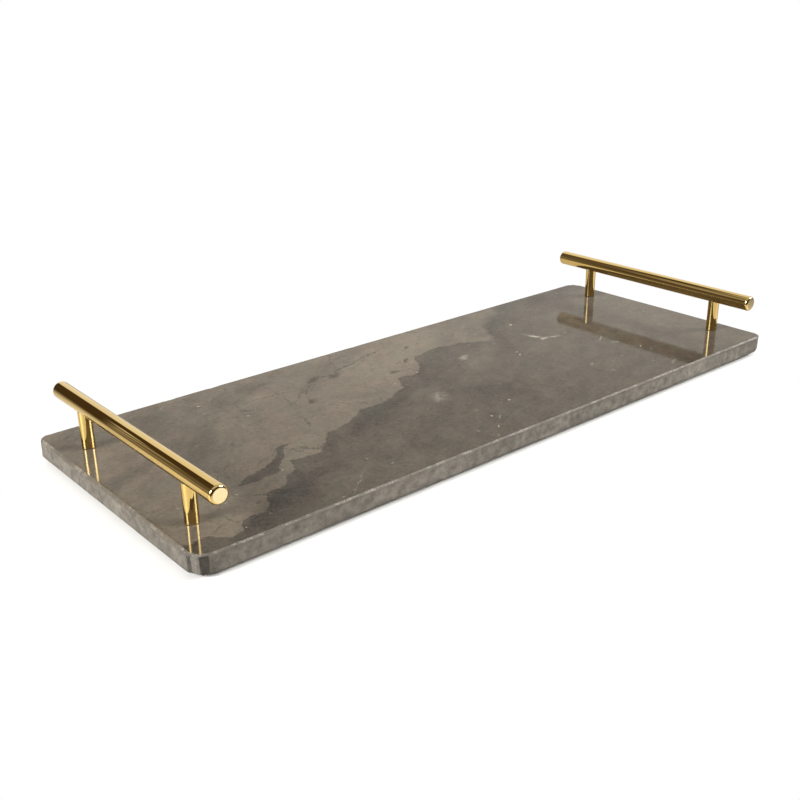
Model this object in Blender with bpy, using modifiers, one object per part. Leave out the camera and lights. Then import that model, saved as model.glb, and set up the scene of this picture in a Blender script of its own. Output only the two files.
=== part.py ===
# Marble serving tray with a brass bar handle across each end.
# Metres, +Z up. X runs along the tray, Y across it, and the feet stand on Z = 0.

import math

import bmesh
import bpy

# Marble slab
SLAB_LENGTH = 0.520
SLAB_WIDTH = 0.200
SLAB_THICKNESS = 0.013
CORNER_RADIUS = 0.009
LONG_ARRIS = 0.0010
END_ARRIS = 0.0016
UNDER_ARRIS = 0.0012

# Handle bars, each over the posts near one end of the slab and running past them both
BAR_DIAMETER = 0.0115
BAR_OVERHANG = 0.033
BAR_END_CHAMFER = 0.0012
BAR_INSET = 0.019
FINGER_HEIGHT = 0.0233

# Handle posts
POST_DIAMETER = 0.0085
POST_SPACING = 0.128
POST_FOOT_CHAMFER = 0.0004

# Threads of the studs and screws, and the drilled holes that take them
THREAD_DIAMETER = 0.004
THREAD_GAP = 0.0003
THREAD_TIP_CHAMFER = 0.0005
DRILL_RELIEF = 0.0008
STUD_IN_BAR = 0.0058
STUD_IN_POST = 0.0055
SCREW_IN_POST = 0.008

# Button heads of the screws
HEAD_DIAMETER = 0.0076
HEAD_HEIGHT = 0.0022
HEAD_RIM = 0.0004
HEAD_FACE_DIAMETER = 0.0048
SOCKET_WIDTH = 0.0025
SOCKET_DEPTH = 0.0012

# Washers
WASHER_DIAMETER = 0.009
WASHER_THICKNESS = 0.0008

# Holes through the slab, with a pocket below for head and washer
SCREW_HOLE_DIAMETER = 0.005
POCKET_DIAMETER = 0.011
POCKET_DEPTH = 0.005

# Rubber feet
FOOT_DIAMETER = 0.012
FOOT_SOLE_DIAMETER = 0.009
FOOT_HEIGHT = 0.0025
FOOT_WALL = 0.0009
FOOT_END_INSET = 0.022
FOOT_SIDE_INSET = 0.014

# Clearance between pieces that touch, and how far a cutter runs past what it cuts
SEAT_GAP = 0.0003
CUT_OVERRUN = 0.002
MERGE_DISTANCE = 0.00001

# Facets of the round forms
CORNER_STEPS = 8
BAR_STEPS = 48
POST_STEPS = 36
THREAD_STEPS = 20
HEAD_STEPS = 28
HEAD_ARC_STEPS = 4
HOLE_STEPS = 28
FOOT_STEPS = 32
FOOT_ARC_STEPS = 4
SOCKET_SIDES = 6
SMOOTH_ANGLE = math.radians(30)

# Levels and places worked out from the sizes above
SLAB_BOTTOM = FOOT_HEIGHT + SEAT_GAP
SLAB_TOP = SLAB_BOTTOM + SLAB_THICKNESS
POST_BASE = SLAB_TOP + SEAT_GAP
BAR_BOTTOM = SLAB_TOP + FINGER_HEIGHT
BAR_AXIS = BAR_BOTTOM + BAR_DIAMETER / 2
POCKET_CEILING = SLAB_BOTTOM + POCKET_DEPTH
WASHER_BOTTOM = POCKET_CEILING - SEAT_GAP - WASHER_THICKNESS
HEAD_TOP = WASHER_BOTTOM - SEAT_GAP
THREAD_HOLE_RADIUS = THREAD_DIAMETER / 2 + THREAD_GAP
HANDLE_X = SLAB_LENGTH / 2 - BAR_INSET
POST_Y = POST_SPACING / 2
FOOT_X = SLAB_LENGTH / 2 - FOOT_END_INSET
FOOT_Y = SLAB_WIDTH / 2 - FOOT_SIDE_INSET

ENDS = {"left": -1, "right": 1}
SIDES = {"front": -1, "back": 1}


def empty_scene():
    for obj in list(bpy.data.objects):
        bpy.data.objects.remove(obj, do_unlink=True)


def new_collection(name):
    collection = bpy.data.collections.new(name)
    bpy.context.scene.collection.children.link(collection)
    return collection


def new_material(name, colour, roughness, metallic):
    material = bpy.data.materials.new(name)
    material.use_nodes = True
    surface = material.node_tree.nodes["Principled BSDF"]
    surface.inputs["Base Color"].default_value = (*colour, 1)
    surface.inputs["Roughness"].default_value = roughness
    surface.inputs["Metallic"].default_value = metallic
    return material


def new_object(name, mesh, collection, location=(0, 0, 0)):
    obj = bpy.data.objects.new(name, mesh)
    obj.location = location
    collection.objects.link(obj)
    return obj


def turned(name, profile, steps, collection, location=(0, 0, 0), closed=False):
    # Turns a profile of (radius, height) points, listed down its outer side, about Z.
    mesh = bpy.data.meshes.new(name)
    points = [(radius, 0, height) for radius, height in profile]
    edges = [(i, i + 1) for i in range(len(points) - 1)]
    if closed:
        edges.append((len(points) - 1, 0))
    mesh.from_pydata(points, edges, [])
    obj = new_object(name, mesh, collection, location)
    screw = obj.modifiers.new("turn", "SCREW")
    screw.axis = "Z"
    screw.angle = math.tau
    screw.steps = steps
    screw.render_steps = steps
    screw.use_merge_vertices = True
    screw.merge_threshold = MERGE_DISTANCE
    return obj


def cut(target, cutter):
    boolean = target.modifiers.new(cutter.name, "BOOLEAN")
    boolean.operation = "DIFFERENCE"
    boolean.solver = "EXACT"
    boolean.object = cutter


def as_cutter(obj):
    obj.hide_render = True
    obj.display_type = "WIRE"
    return obj


def settle(obj, material):
    # Applies the modifiers, so that copies can share the finished mesh.
    bpy.context.view_layer.update()
    evaluated = obj.evaluated_get(bpy.context.evaluated_depsgraph_get())
    mesh = bpy.data.meshes.new_from_object(evaluated)
    mesh.name = obj.name
    obj.modifiers.clear()
    obj.data = mesh
    mesh.materials.clear()
    mesh.materials.append(material)
    mesh.shade_smooth()
    mesh.set_sharp_from_angle(angle=SMOOTH_ANGLE)
    return obj


def copy_to(master, name, location):
    # The copy shares the master's mesh.
    obj = new_object(name, master.data, master.users_collection[0], location)
    obj.rotation_euler = master.rotation_euler
    return obj


def at_each_post(master, piece, height):
    # The master is the left front piece, and the other three posts get copies of it.
    master.location = (-HANDLE_X, -POST_Y, height)
    for end, x_sign in ENDS.items():
        for side, y_sign in SIDES.items():
            name = f"{end}_{side}_{piece}"
            if name != master.name:
                copy_to(master, name, (x_sign * HANDLE_X, y_sign * POST_Y, height))


def slab_blank():
    # A box whose upright corners are rounded, about its own centre.
    blank = bmesh.new()
    bmesh.ops.create_cube(blank, size=1)
    bmesh.ops.scale(blank, vec=(SLAB_LENGTH, SLAB_WIDTH, SLAB_THICKNESS), verts=blank.verts)
    uprights = [edge for edge in blank.edges if edge.verts[0].co.xy == edge.verts[1].co.xy]
    bmesh.ops.bevel(
        blank,
        geom=uprights,
        offset=CORNER_RADIUS,
        offset_type="OFFSET",
        segments=CORNER_STEPS,
        profile=0.5,
        affect="EDGES",
    )
    return blank


def weigh_rims(blank, widest):
    # The ground edge is widest on the short ends and narrows round the corners to the long sides.
    weights = blank.edges.layers.float.new("bevel_weight_edge")
    for edge in blank.edges:
        first, second = edge.verts
        if abs(first.co.z - second.co.z) > SLAB_THICKNESS / 2:
            continue
        along = (second.co - first.co).normalized()
        end_share = along.y ** 2
        width = END_ARRIS * end_share + LONG_ARRIS * (1 - end_share)
        if first.co.z < 0:
            width = UNDER_ARRIS
        edge[weights] = width / widest


def make_slab(parts, cutters, marble):
    blank = slab_blank()
    widest = max(LONG_ARRIS, END_ARRIS, UNDER_ARRIS)
    weigh_rims(blank, widest)
    mesh = bpy.data.meshes.new("marble_slab")
    blank.to_mesh(mesh)
    blank.free()
    slab = new_object("marble_slab", mesh, parts, (0, 0, SLAB_BOTTOM + SLAB_THICKNESS / 2))
    arris = slab.modifiers.new("arris", "BEVEL")
    arris.limit_method = "WEIGHT"
    arris.offset_type = "OFFSET"
    arris.width = widest
    arris.segments = 1
    hole = SCREW_HOLE_DIAMETER / 2
    pocket = POCKET_DIAMETER / 2
    hole_profile = [
        (0, SLAB_TOP + CUT_OVERRUN),
        (hole, SLAB_TOP + CUT_OVERRUN),
        (hole, POCKET_CEILING),
        (pocket, POCKET_CEILING),
        (pocket, SLAB_BOTTOM - CUT_OVERRUN),
        (0, SLAB_BOTTOM - CUT_OVERRUN),
    ]
    for end, x_sign in ENDS.items():
        for side, y_sign in SIDES.items():
            place = (x_sign * HANDLE_X, y_sign * POST_Y, 0)
            name = f"{end}_{side}_screw_hole"
            cut(slab, as_cutter(turned(name, hole_profile, HOLE_STEPS, cutters, place)))
    settle(slab, marble)


def make_bars(parts, cutters, brass):
    radius = BAR_DIAMETER / 2
    half = POST_Y + BAR_OVERHANG
    rod_profile = [
        (0, half),
        (radius - BAR_END_CHAMFER, half),
        (radius, half - BAR_END_CHAMFER),
        (radius, BAR_END_CHAMFER - half),
        (radius - BAR_END_CHAMFER, -half),
        (0, -half),
    ]
    drill_profile = [
        (0, BAR_BOTTOM + STUD_IN_BAR + DRILL_RELIEF),
        (THREAD_HOLE_RADIUS, BAR_BOTTOM + STUD_IN_BAR + DRILL_RELIEF),
        (THREAD_HOLE_RADIUS, BAR_BOTTOM - CUT_OVERRUN),
        (0, BAR_BOTTOM - CUT_OVERRUN),
    ]
    bar = turned("left_handle_bar", rod_profile, BAR_STEPS, parts, (-HANDLE_X, 0, BAR_AXIS))
    bar.rotation_euler.x = math.pi / 2
    for side, y_sign in SIDES.items():
        place = (-HANDLE_X, y_sign * POST_Y, 0)
        cut(bar, as_cutter(turned(f"bar_{side}_stud_hole", drill_profile, THREAD_STEPS, cutters, place)))
    settle(bar, brass)
    copy_to(bar, "right_handle_bar", (HANDLE_X, 0, BAR_AXIS))


def make_posts(parts, cutters, brass):
    # Heights here are above the post's foot. The blank reaches the bar's axis,
    # and the bar's own curve, opened by the seat gap, hollows its top to a saddle.
    radius = POST_DIAMETER / 2
    top = BAR_AXIS - POST_BASE
    stud_floor = BAR_BOTTOM - POST_BASE - STUD_IN_POST - DRILL_RELIEF
    screw_ceiling = SCREW_IN_POST + DRILL_RELIEF
    blank_profile = [
        (0, stud_floor),
        (THREAD_HOLE_RADIUS, stud_floor),
        (THREAD_HOLE_RADIUS, top),
        (radius, top),
        (radius, POST_FOOT_CHAMFER),
        (radius - POST_FOOT_CHAMFER, 0),
        (THREAD_HOLE_RADIUS, 0),
        (THREAD_HOLE_RADIUS, screw_ceiling),
        (0, screw_ceiling),
    ]
    seat_radius = BAR_DIAMETER / 2 + SEAT_GAP
    seat_half = POST_DIAMETER / 2 + CUT_OVERRUN
    seat_profile = [(0, seat_half), (seat_radius, seat_half), (seat_radius, -seat_half), (0, -seat_half)]
    place = (-HANDLE_X, -POST_Y, POST_BASE)
    post = turned("left_front_post", blank_profile, POST_STEPS, parts, place)
    seat = as_cutter(turned("post_bar_seat", seat_profile, BAR_STEPS, cutters, (-HANDLE_X, -POST_Y, BAR_AXIS)))
    seat.rotation_euler.x = math.pi / 2
    cut(post, seat)
    settle(post, brass)
    at_each_post(post, "post", POST_BASE)


def make_studs(parts, steel):
    # Each joins a post's top to the bar. Heights are from the bar's underside.
    radius = THREAD_DIAMETER / 2
    tip = radius - THREAD_TIP_CHAMFER
    profile = [
        (0, STUD_IN_BAR),
        (tip, STUD_IN_BAR),
        (radius, STUD_IN_BAR - THREAD_TIP_CHAMFER),
        (radius, THREAD_TIP_CHAMFER - STUD_IN_POST),
        (tip, -STUD_IN_POST),
        (0, -STUD_IN_POST),
    ]
    stud = settle(turned("left_front_stud", profile, THREAD_STEPS, parts), steel)
    at_each_post(stud, "stud", BAR_BOTTOM)


def make_screws(parts, cutters, steel):
    # The button head hangs below the washer. Heights are from the head's flat top.
    shank = THREAD_DIAMETER / 2
    tip_height = POST_BASE + SCREW_IN_POST - HEAD_TOP
    head = HEAD_DIAMETER / 2
    face = HEAD_FACE_DIAMETER / 2
    profile = [
        (0, tip_height),
        (shank - THREAD_TIP_CHAMFER, tip_height),
        (shank, tip_height - THREAD_TIP_CHAMFER),
        (shank, 0),
        (head, 0),
        (head, -HEAD_RIM),
    ]
    for i in range(1, HEAD_ARC_STEPS + 1):
        turn = math.pi / 2 * i / HEAD_ARC_STEPS
        radius = face + (head - face) * math.cos(turn)
        height = HEAD_RIM + (HEAD_HEIGHT - HEAD_RIM) * math.sin(turn)
        profile.append((radius, -height))
    profile.append((0, -HEAD_HEIGHT))
    screw = turned("left_front_screw", profile, HEAD_STEPS, parts)
    across_corners = SOCKET_WIDTH / math.cos(math.pi / SOCKET_SIDES)
    key = across_corners / 2
    key_profile = [
        (0, SOCKET_DEPTH - HEAD_HEIGHT),
        (key, SOCKET_DEPTH - HEAD_HEIGHT),
        (key, -HEAD_HEIGHT - CUT_OVERRUN),
        (0, -HEAD_HEIGHT - CUT_OVERRUN),
    ]
    cut(screw, as_cutter(turned("screw_socket", key_profile, SOCKET_SIDES, cutters)))
    settle(screw, steel)
    at_each_post(screw, "screw", HEAD_TOP)


def make_washers(parts, steel):
    outer = WASHER_DIAMETER / 2
    ring_profile = [
        (THREAD_HOLE_RADIUS, WASHER_THICKNESS),
        (outer, WASHER_THICKNESS),
        (outer, 0),
        (THREAD_HOLE_RADIUS, 0),
    ]
    ring = turned("left_front_washer", ring_profile, HEAD_STEPS, parts, closed=True)
    settle(ring, steel)
    at_each_post(ring, "washer", WASHER_BOTTOM)


def make_feet(parts, rubber):
    # A straight wall under the slab, rounded in to a flat sole.
    outer = FOOT_DIAMETER / 2
    sole = FOOT_SOLE_DIAMETER / 2
    bulge = FOOT_HEIGHT - FOOT_WALL
    profile = [(0, FOOT_HEIGHT), (outer, FOOT_HEIGHT)]
    for i in range(FOOT_ARC_STEPS + 1):
        turn = math.pi / 2 * i / FOOT_ARC_STEPS
        radius = sole + (outer - sole) * math.cos(turn)
        profile.append((radius, bulge * (1 - math.sin(turn))))
    profile.append((0, 0))
    foot = settle(turned("left_front_foot", profile, FOOT_STEPS, parts), rubber)
    foot.location = (-FOOT_X, -FOOT_Y, 0)
    for end, x_sign in ENDS.items():
        for side, y_sign in SIDES.items():
            name = f"{end}_{side}_foot"
            if name != foot.name:
                copy_to(foot, name, (x_sign * FOOT_X, y_sign * FOOT_Y, 0))


def build():
    empty_scene()
    parts = new_collection("marble_tray")
    cutters = new_collection("marble_tray_cutters")
    marble = new_material("polished_marble", (0.155, 0.133, 0.112), 0.12, 0)
    brass = new_material("polished_brass", (0.80, 0.62, 0.30), 0.14, 1)
    steel = new_material("zinc_steel", (0.55, 0.56, 0.57), 0.32, 1)
    rubber = new_material("foot_rubber", (0.03, 0.03, 0.03), 0.8, 0)
    make_slab(parts, cutters, marble)
    make_bars(parts, cutters, brass)
    make_posts(parts, cutters, brass)
    make_studs(parts, steel)
    make_screws(parts, cutters, steel)
    make_washers(parts, steel)
    make_feet(parts, rubber)


build()
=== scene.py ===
# Marble serving tray with two brass bar handles: the look of each piece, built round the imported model.
import math

import bmesh
import bpy
from mathutils import Matrix, Vector, noise
from mathutils.geometry import delaunay_2d_cdt


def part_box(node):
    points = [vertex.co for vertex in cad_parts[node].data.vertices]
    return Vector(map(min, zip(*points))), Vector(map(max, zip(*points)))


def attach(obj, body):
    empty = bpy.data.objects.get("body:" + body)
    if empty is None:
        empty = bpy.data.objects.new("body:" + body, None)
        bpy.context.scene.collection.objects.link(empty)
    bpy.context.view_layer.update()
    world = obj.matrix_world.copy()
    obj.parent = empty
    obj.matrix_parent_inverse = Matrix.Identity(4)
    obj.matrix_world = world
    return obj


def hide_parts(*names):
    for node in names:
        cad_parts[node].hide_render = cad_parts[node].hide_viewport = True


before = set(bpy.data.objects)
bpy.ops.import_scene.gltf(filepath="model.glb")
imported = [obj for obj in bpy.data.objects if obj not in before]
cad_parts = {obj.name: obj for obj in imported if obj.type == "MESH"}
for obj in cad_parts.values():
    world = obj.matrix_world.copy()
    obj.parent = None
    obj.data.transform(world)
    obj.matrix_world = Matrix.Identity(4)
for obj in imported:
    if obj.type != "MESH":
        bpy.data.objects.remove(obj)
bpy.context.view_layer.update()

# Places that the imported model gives
slabLow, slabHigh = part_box("marble_slab")
slabLength, slabWidth = slabHigh.x - slabLow.x, slabHigh.y - slabLow.y
leftBarLow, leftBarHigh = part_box("left_handle_bar")
rightBarLow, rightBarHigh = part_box("right_handle_bar")
barRadius = (leftBarHigh.z - leftBarLow.z) / 2
barAxis = (leftBarHigh.z + leftBarLow.z) / 2
barLength = leftBarHigh.y - leftBarLow.y
handleSpan = (rightBarLow.x + rightBarHigh.x - leftBarLow.x - leftBarHigh.x) / 2
frontPostLow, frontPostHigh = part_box("left_front_post")
backPostLow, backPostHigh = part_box("left_back_post")
postRadius = (frontPostHigh.x - frontPostLow.x) / 2
postSpan = (backPostLow.y + backPostHigh.y - frontPostLow.y - frontPostHigh.y) / 2
washerLow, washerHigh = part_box("left_front_washer")
screwLow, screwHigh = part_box("left_front_screw")
footLow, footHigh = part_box("left_front_foot")
rightBackFootLow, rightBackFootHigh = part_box("right_back_foot")

postSpans = {"Span X": handleSpan, "Span Y": postSpan}

ends = ("left", "right")
sides = ("front", "back")


def nodesOf(piece):
    return [f"{end}_{side}_{piece}" for end in ends for side in sides]


# Camera, at the photograph's own place and angle
camera = {
    "place": (-0.4748, -0.5183, 0.2935),
    "yaw": 49.905,  # from the tray's long axis towards its back
    "pitch": 22.627,  # down
    "roll": 0.715,
    "lens": 46.94,
    "sensor": 36.0,
}


def linked(name, data):
    made = bpy.data.objects.new(name, data)
    bpy.context.scene.collection.objects.link(made)
    return made


def setUpCamera():
    data = bpy.data.cameras.new("photoCamera")
    data.lens = camera["lens"]
    data.sensor_width = camera["sensor"]
    data.clip_start, data.clip_end = 0.01, 100
    eye = linked("photoCamera", data)
    turns = ((camera["yaw"] - 90, "Z"), (90 - camera["pitch"], "X"), (-camera["roll"], "Z"))
    place = Matrix.Translation(camera["place"])
    for degrees, axis in turns:
        place = place @ Matrix.Rotation(math.radians(degrees), 4, axis)
    eye.matrix_world = place
    bpy.context.scene.camera = eye


# Small helpers that wire nodes together, for materials, the studio and geometry alike: addNode
# gives the node, wire and those after it give an output
def addNode(tree, kind, inputs=None, **settings):
    made = tree.nodes.new(kind if "Node" in kind else "ShaderNode" + kind)
    for name, value in settings.items():
        setattr(made, name, value)
    for name, value in (inputs or {}).items():
        if isinstance(value, bpy.types.NodeSocket):
            tree.links.new(value, made.inputs[name])
        else:
            made.inputs[name].default_value = value
    return made


def wire(tree, kind, inputs=None, **settings):
    return addNode(tree, kind, inputs, **settings).outputs[0]


def treeOf(*values):
    # The tree of the first socket among the values
    return next(value.id_data for value in values if isinstance(value, bpy.types.NodeSocket))


def sums(operation, *values):
    return wire(treeOf(*values), "Math", dict(enumerate(values)), operation=operation)


def plus(*values):
    return sums("ADD", *values)


def minus(*values):
    return sums("SUBTRACT", *values)


def times(*values):
    return sums("MULTIPLY", *values)


def timesPlus(*values):
    return sums("MULTIPLY_ADD", *values)


def apart(first, second):
    return sums("ABSOLUTE", minus(first, second))


def ramp(value, low, high, start=0.0, end=1.0, soft=True):
    spread = {"Value": value, "From Min": low, "From Max": high, "To Min": start, "To Max": end}
    style = "SMOOTHSTEP" if soft else "LINEAR"
    return wire(treeOf(value), "MapRange", spread, interpolation_type=style)


def between(value, low, high, soft):
    rise = ramp(value, low - soft / 2, low + soft / 2)
    fall = ramp(value, high + soft / 2, high - soft / 2)
    return times(rise, fall)


def mixed(share, first, second, blend="MIX"):
    tree = treeOf(share, first, second)
    values = {0: share, 6: first, 7: second}
    return addNode(tree, "Mix", values, data_type="RGBA", blend_type=blend).outputs[2]


def toned(colour, tone):
    return wire(treeOf(colour), "HueSaturation", {"Color": colour, "Value": tone})


def cloud(place, scale, detail=4.0, roughness=0.55, output="Fac"):
    values = {"Vector": place, "Scale": scale, "Detail": detail, "Roughness": roughness}
    return addNode(treeOf(place), "TexNoise", values).outputs[output]


def drawnLine(value, points):
    # A line drawn through the points, as a curve from 0 to 1
    made = addNode(treeOf(value), "FloatCurve", {"Value": value})
    curve = made.mapping.curves[0]
    for _ in range(len(points) - 2):
        curve.points.new(0.5, 0.5)
    for point, (along, height) in zip(curve.points, sorted(points)):
        point.location = (along, height)
        point.handle_type = "VECTOR"
    made.mapping.update()
    return made.outputs[0]


def newMaterial(name):
    material = bpy.data.materials.new(name)
    material.use_nodes = True
    tree = material.node_tree
    tree.nodes.clear()
    return material, tree, addNode(tree, "TexCoord").outputs["Object"]


def surface(material, inputs):
    tree = material.node_tree
    addNode(tree, "OutputMaterial", {"Surface": wire(tree, "BsdfPrincipled", inputs)})
    return material


def addSocket(tree, way, label, kind):
    tree.interface.new_socket(label, in_out=way, socket_type="NodeSocket" + kind)


def partsOf(place):
    return addNode(treeOf(place), "SeparateXYZ", {0: place}).outputs


def bumpy(height, strength, distance):
    return wire(treeOf(height), "Bump", {"Height": height, "Strength": strength, "Distance": distance})


# The stone's own pattern, drawn in shares of the slab's length from its left end
# and of its width from its front, so that it runs through top, edges and underside
stone = {
    "dark": (0.0512, 0.0428, 0.0343, 1),
    "light": (0.087, 0.073, 0.0575, 1),
    "crack": (0.03, 0.024, 0.018, 1),
    "fleck": (0.42, 0.38, 0.32, 1),
    "warm": (1.035, 0.995, 0.97, 1),
    "cool": (0.975, 1.01, 0.985, 1),
    "slowDrift": 0.012,
    "fastDrift": 0.0054,
    "finestDrift": 0.0042,
    "beddingTurn": 32,
    "beddingStretch": 1.7,
    "patchScale": 62,
    "hairlineScale": 38,
    "speckScale": 210,
}

# Where the pale stone above meets the dark stone below
borderShares = [
    (0, 0.075), (0.035, 0.08), (0.045, 0.05), (0.067, 0.047), (0.071, 0.092), (0.106, 0.092),
    (0.119, 0.118), (0.13, 0.18), (0.163, 0.208), (0.176, 0.242), (0.194, 0.267), (0.199, 0.318),
    (0.212, 0.308), (0.234, 0.305), (0.256, 0.35), (0.28, 0.414), (0.295, 0.413), (0.32, 0.43),
    (0.34, 0.446), (0.356, 0.472), (0.388, 0.472), (0.41, 0.495), (0.424, 0.521), (0.442, 0.542),
    (0.458, 0.595), (0.473, 0.62), (0.481, 0.607), (0.497, 0.615), (0.516, 0.648), (0.529, 0.692),
    (0.532, 0.728), (0.542, 0.745), (0.567, 0.767), (0.59, 0.77), (0.606, 0.747), (0.625, 0.75),
    (0.654, 0.708), (0.67, 0.688), (0.686, 0.713), (0.696, 0.783), (0.708, 0.838), (0.734, 0.883),
    (0.769, 0.917), (0.785, 0.975), (0.8, 1), (1, 1),
]

# A tongue of dark stone that runs up into the pale stone: its middle line and half its width
tongueMiddleShares = [
    (0, 0.28), (0.125, 0.281), (0.138, 0.293), (0.151, 0.295), (0.168, 0.301), (0.18, 0.32),
    (0.19, 0.345), (0.199, 0.372), (0.205, 0.395), (0.217, 0.417), (1, 0.43),
]
tongueHalfShares = [
    (0, 0), (0.12, 0), (0.13, 0.012), (0.14, 0.026), (0.151, 0.028), (0.168, 0.03), (0.18, 0.026),
    (0.19, 0.022), (0.199, 0.022), (0.207, 0.018), (0.217, 0.01), (0.224, 0), (1, 0),
]

# Soft clouds: place along and across, half length and half width in shares of the slab's width,
# turn in degrees, and how much lighter they make the stone
cloudShares = [
    (0.52, 0.84, 0.5, 0.2, 30, 0.16),
    (0.4, 0.66, 0.6, 0.2, 28, 0.06),
    (0.585, 0.86, 0.35, 0.1, 20, 0.1),
    (0.68, 0.86, 0.4, 0.13, 25, -0.05),
    (0.255, 0.865, 0.26, 0.075, 20, -0.26),
    (0.14, 0.6, 0.3, 0.06, 50, -0.22),
    (0.115, 0.85, 0.26, 0.12, 40, -0.16),
    (0.035, 0.55, 0.2, 0.055, 28, -0.3),
    (0.04, 0.9, 0.2, 0.12, 0, -0.12),
    (0.29, 0.68, 0.35, 0.16, 35, -0.07),
    (0.51, 0.315, 0.28, 0.12, -12, -0.2),
    (0.435, 0.2, 0.14, 0.12, 50, -0.16),
    (0.33, 0.36, 0.22, 0.06, 20, -0.2),
    (0.15, 0.12, 0.3, 0.08, 25, -0.2),
    (0.6, 0.58, 0.3, 0.1, 30, 0.2),
    (0.7, 0.42, 0.4, 0.16, 35, 0.14),
    (0.43, 0.4, 0.25, 0.07, 30, 0.14),
    (0.85, 0.5, 0.6, 0.35, 0, 0.08),
    (0.97, 0.45, 0.5, 0.7, 0, 0.38),
    (0.84, 0.45, 0.12, 0.6, 0, 0.14),
    (0.58, 0.69, 0.35, 0.1, -10, 0.14),
    (0.46, 0.38, 0.08, 0.05, 35, 0.42),
    (0.449, 0.455, 0.07, 0.035, 20, 0.22),
    (0.369, 0.258, 0.08, 0.04, 50, 0.24),
    (0.5865, 0.563, 0.06, 0.035, 40, 0.26),
    (0.588, 0.622, 0.06, 0.03, 35, 0.26),
    (0.736, 0.605, 0.075, 0.03, -62, 0.34),
    (0.756, 0.555, 0.05, 0.022, -10, 0.3),
]

# Small crystals of pale calcite: place, half length, half width in shares of the width, turn, strength
fleckShares = [
    (0.203, 0.87, 0.011, 0.007, -45, 1),
    (0.0865, 0.208, 0.006, 0.003, 20, 0.5),
    (0.5005, 0.621, 0.005, 0.003, 40, 0.8),
    (0.46, 0.38, 0.06, 0.036, 35, 0.17),
    (0.461, 0.147, 0.008, 0.005, 30, 0.65),
    (0.469, 0.128, 0.02, 0.004, 38, 0.55),
    (0.5256, 0.207, 0.01, 0.006, 20, 0.6),
    (0.588, 0.622, 0.044, 0.018, 35, 0.19),
    (0.665, 0.525, 0.01, 0.004, 45, 0.65),
    (0.6603, 0.497, 0.012, 0.004, 50, 0.55),
    (0.735, 0.608, 0.05, 0.018, -65, 0.42),
    (0.739, 0.56, 0.036, 0.016, 25, 0.42),
    (0.757, 0.553, 0.034, 0.014, -15, 0.34),
    (0.745, 0.767, 0.018, 0.006, 40, 0.6),
    (0.8045, 0.342, 0.02, 0.014, -20, 0.34),
    (0.802, 0.398, 0.042, 0.004, 35, 0.35),
    (0.707, 0.25, 0.02, 0.006, 45, 0.5),
    (0.82, 0.247, 0.018, 0.005, 40, 0.4),
    (0.8, 0.067, 0.03, 0.006, 30, 0.45),
    (0.4455, 0.07, 0.012, 0.005, 40, 0.45),
    (0.961, 0.512, 0.022, 0.004, 38, 0.35),
    (0.072, 0.058, 0.008, 0.003, 70, 0.7),
]

# Dark pits and smudges, in the same terms
smudgeShares = [
    (0.324, 0.66, 0.032, 0.02, 30, 1),
    (0.37, 0.812, 0.056, 0.026, 35, 1),
    (0.402, 0.792, 0.066, 0.028, 30, 1),
    (0.474, 0.67, 0.046, 0.02, 0, 0.8),
    (0.372, 0.52, 0.03, 0.004, 20, 0.75),
    (0.519, 0.745, 0.044, 0.012, 40, 0.95),
    (0.552, 0.85, 0.04, 0.01, 30, 0.7),
    (0.342, 0.17, 0.01, 0.007, 20, 0.7),
    (0.407, 0.283, 0.01, 0.007, 30, 0.6),
    (0.632, 0.872, 0.022, 0.01, 20, 0.4),
    (0.647, 0.845, 0.04, 0.007, 35, 0.35),
    (0.113, 0.15, 0.022, 0.009, 15, 0.7),
    (0.03, 0.455, 0.05, 0.008, 10, 0.45),
]

# Cracks: the line they follow, half their width in shares of the slab's width, and their strength,
# which is below 0 for a pale vein
crackShares = {
    "longCrack": ([
        (0.31, 0.64), (0.322, 0.667), (0.333, 0.717), (0.349, 0.767), (0.36, 0.805), (0.385, 0.813),
        (0.402, 0.795), (0.415, 0.835), (0.45, 0.858), (0.47, 0.88), (0.5, 0.897), (0.515, 0.91),
    ], 0.0065, 0.9),
    "softCrack": ([
        (0.09, 0.88), (0.15, 0.8), (0.22, 0.825), (0.253, 0.808), (0.27, 0.842), (0.282, 0.867),
        (0.308, 0.9), (0.33, 0.915),
    ], 0.005, 0.32),
    "endCrack": ([
        (0, 0.48), (0.018, 0.53), (0.04, 0.552), (0.07, 0.61), (0.1, 0.66), (0.13, 0.7),
    ], 0.012, 0.3),
    "paleVein": ([(0.2, 0.015), (0.238, 0.1), (0.247, 0.18), (0.245, 0.27)], 0.004, -0.22),
}

# Cracks that run across the slab, each place given across and then along
crossCrackShares = {
    "thinCrack": ([(0.5, 0.204), (0.57, 0.207), (0.66, 0.205), (0.7, 0.209)], 0.0012, 0.4),
    "backCrack": ([(0.76, 0.188), (0.8, 0.188), (0.87, 0.183), (0.95, 0.176), (1, 0.174)], 0.0013, 0.35),
    "cornerCrack": ([(0, 0.072), (0.05, 0.069), (0.1, 0.068), (0.17, 0.067)], 0.0014, 0.6),
}


def spotGroup():
    # One soft oval: 1 in its middle and 0 past its rim
    tree = bpy.data.node_groups.new("softOval", "ShaderNodeTree")
    for name in ("Point", "Middle", "Turn", "Size", "Core"):
        addSocket(tree, "INPUT", name, "Float" if name == "Core" else "Vector")
    addSocket(tree, "OUTPUT", "Share", "Float")
    given = tree.nodes.new("NodeGroupInput").outputs
    sockets = {"Vector": "Point", "Location": "Middle", "Rotation": "Turn", "Scale": "Size"}
    values = {name: given[label] for name, label in sockets.items()}
    moved = wire(tree, "Mapping", values, vector_type="TEXTURE")
    reach = addNode(tree, "VectorMath", {0: moved}, operation="LENGTH").outputs["Value"]
    addNode(tree, "NodeGroupOutput", {"Share": ramp(reach, 1.0, given["Core"])})
    return tree


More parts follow.
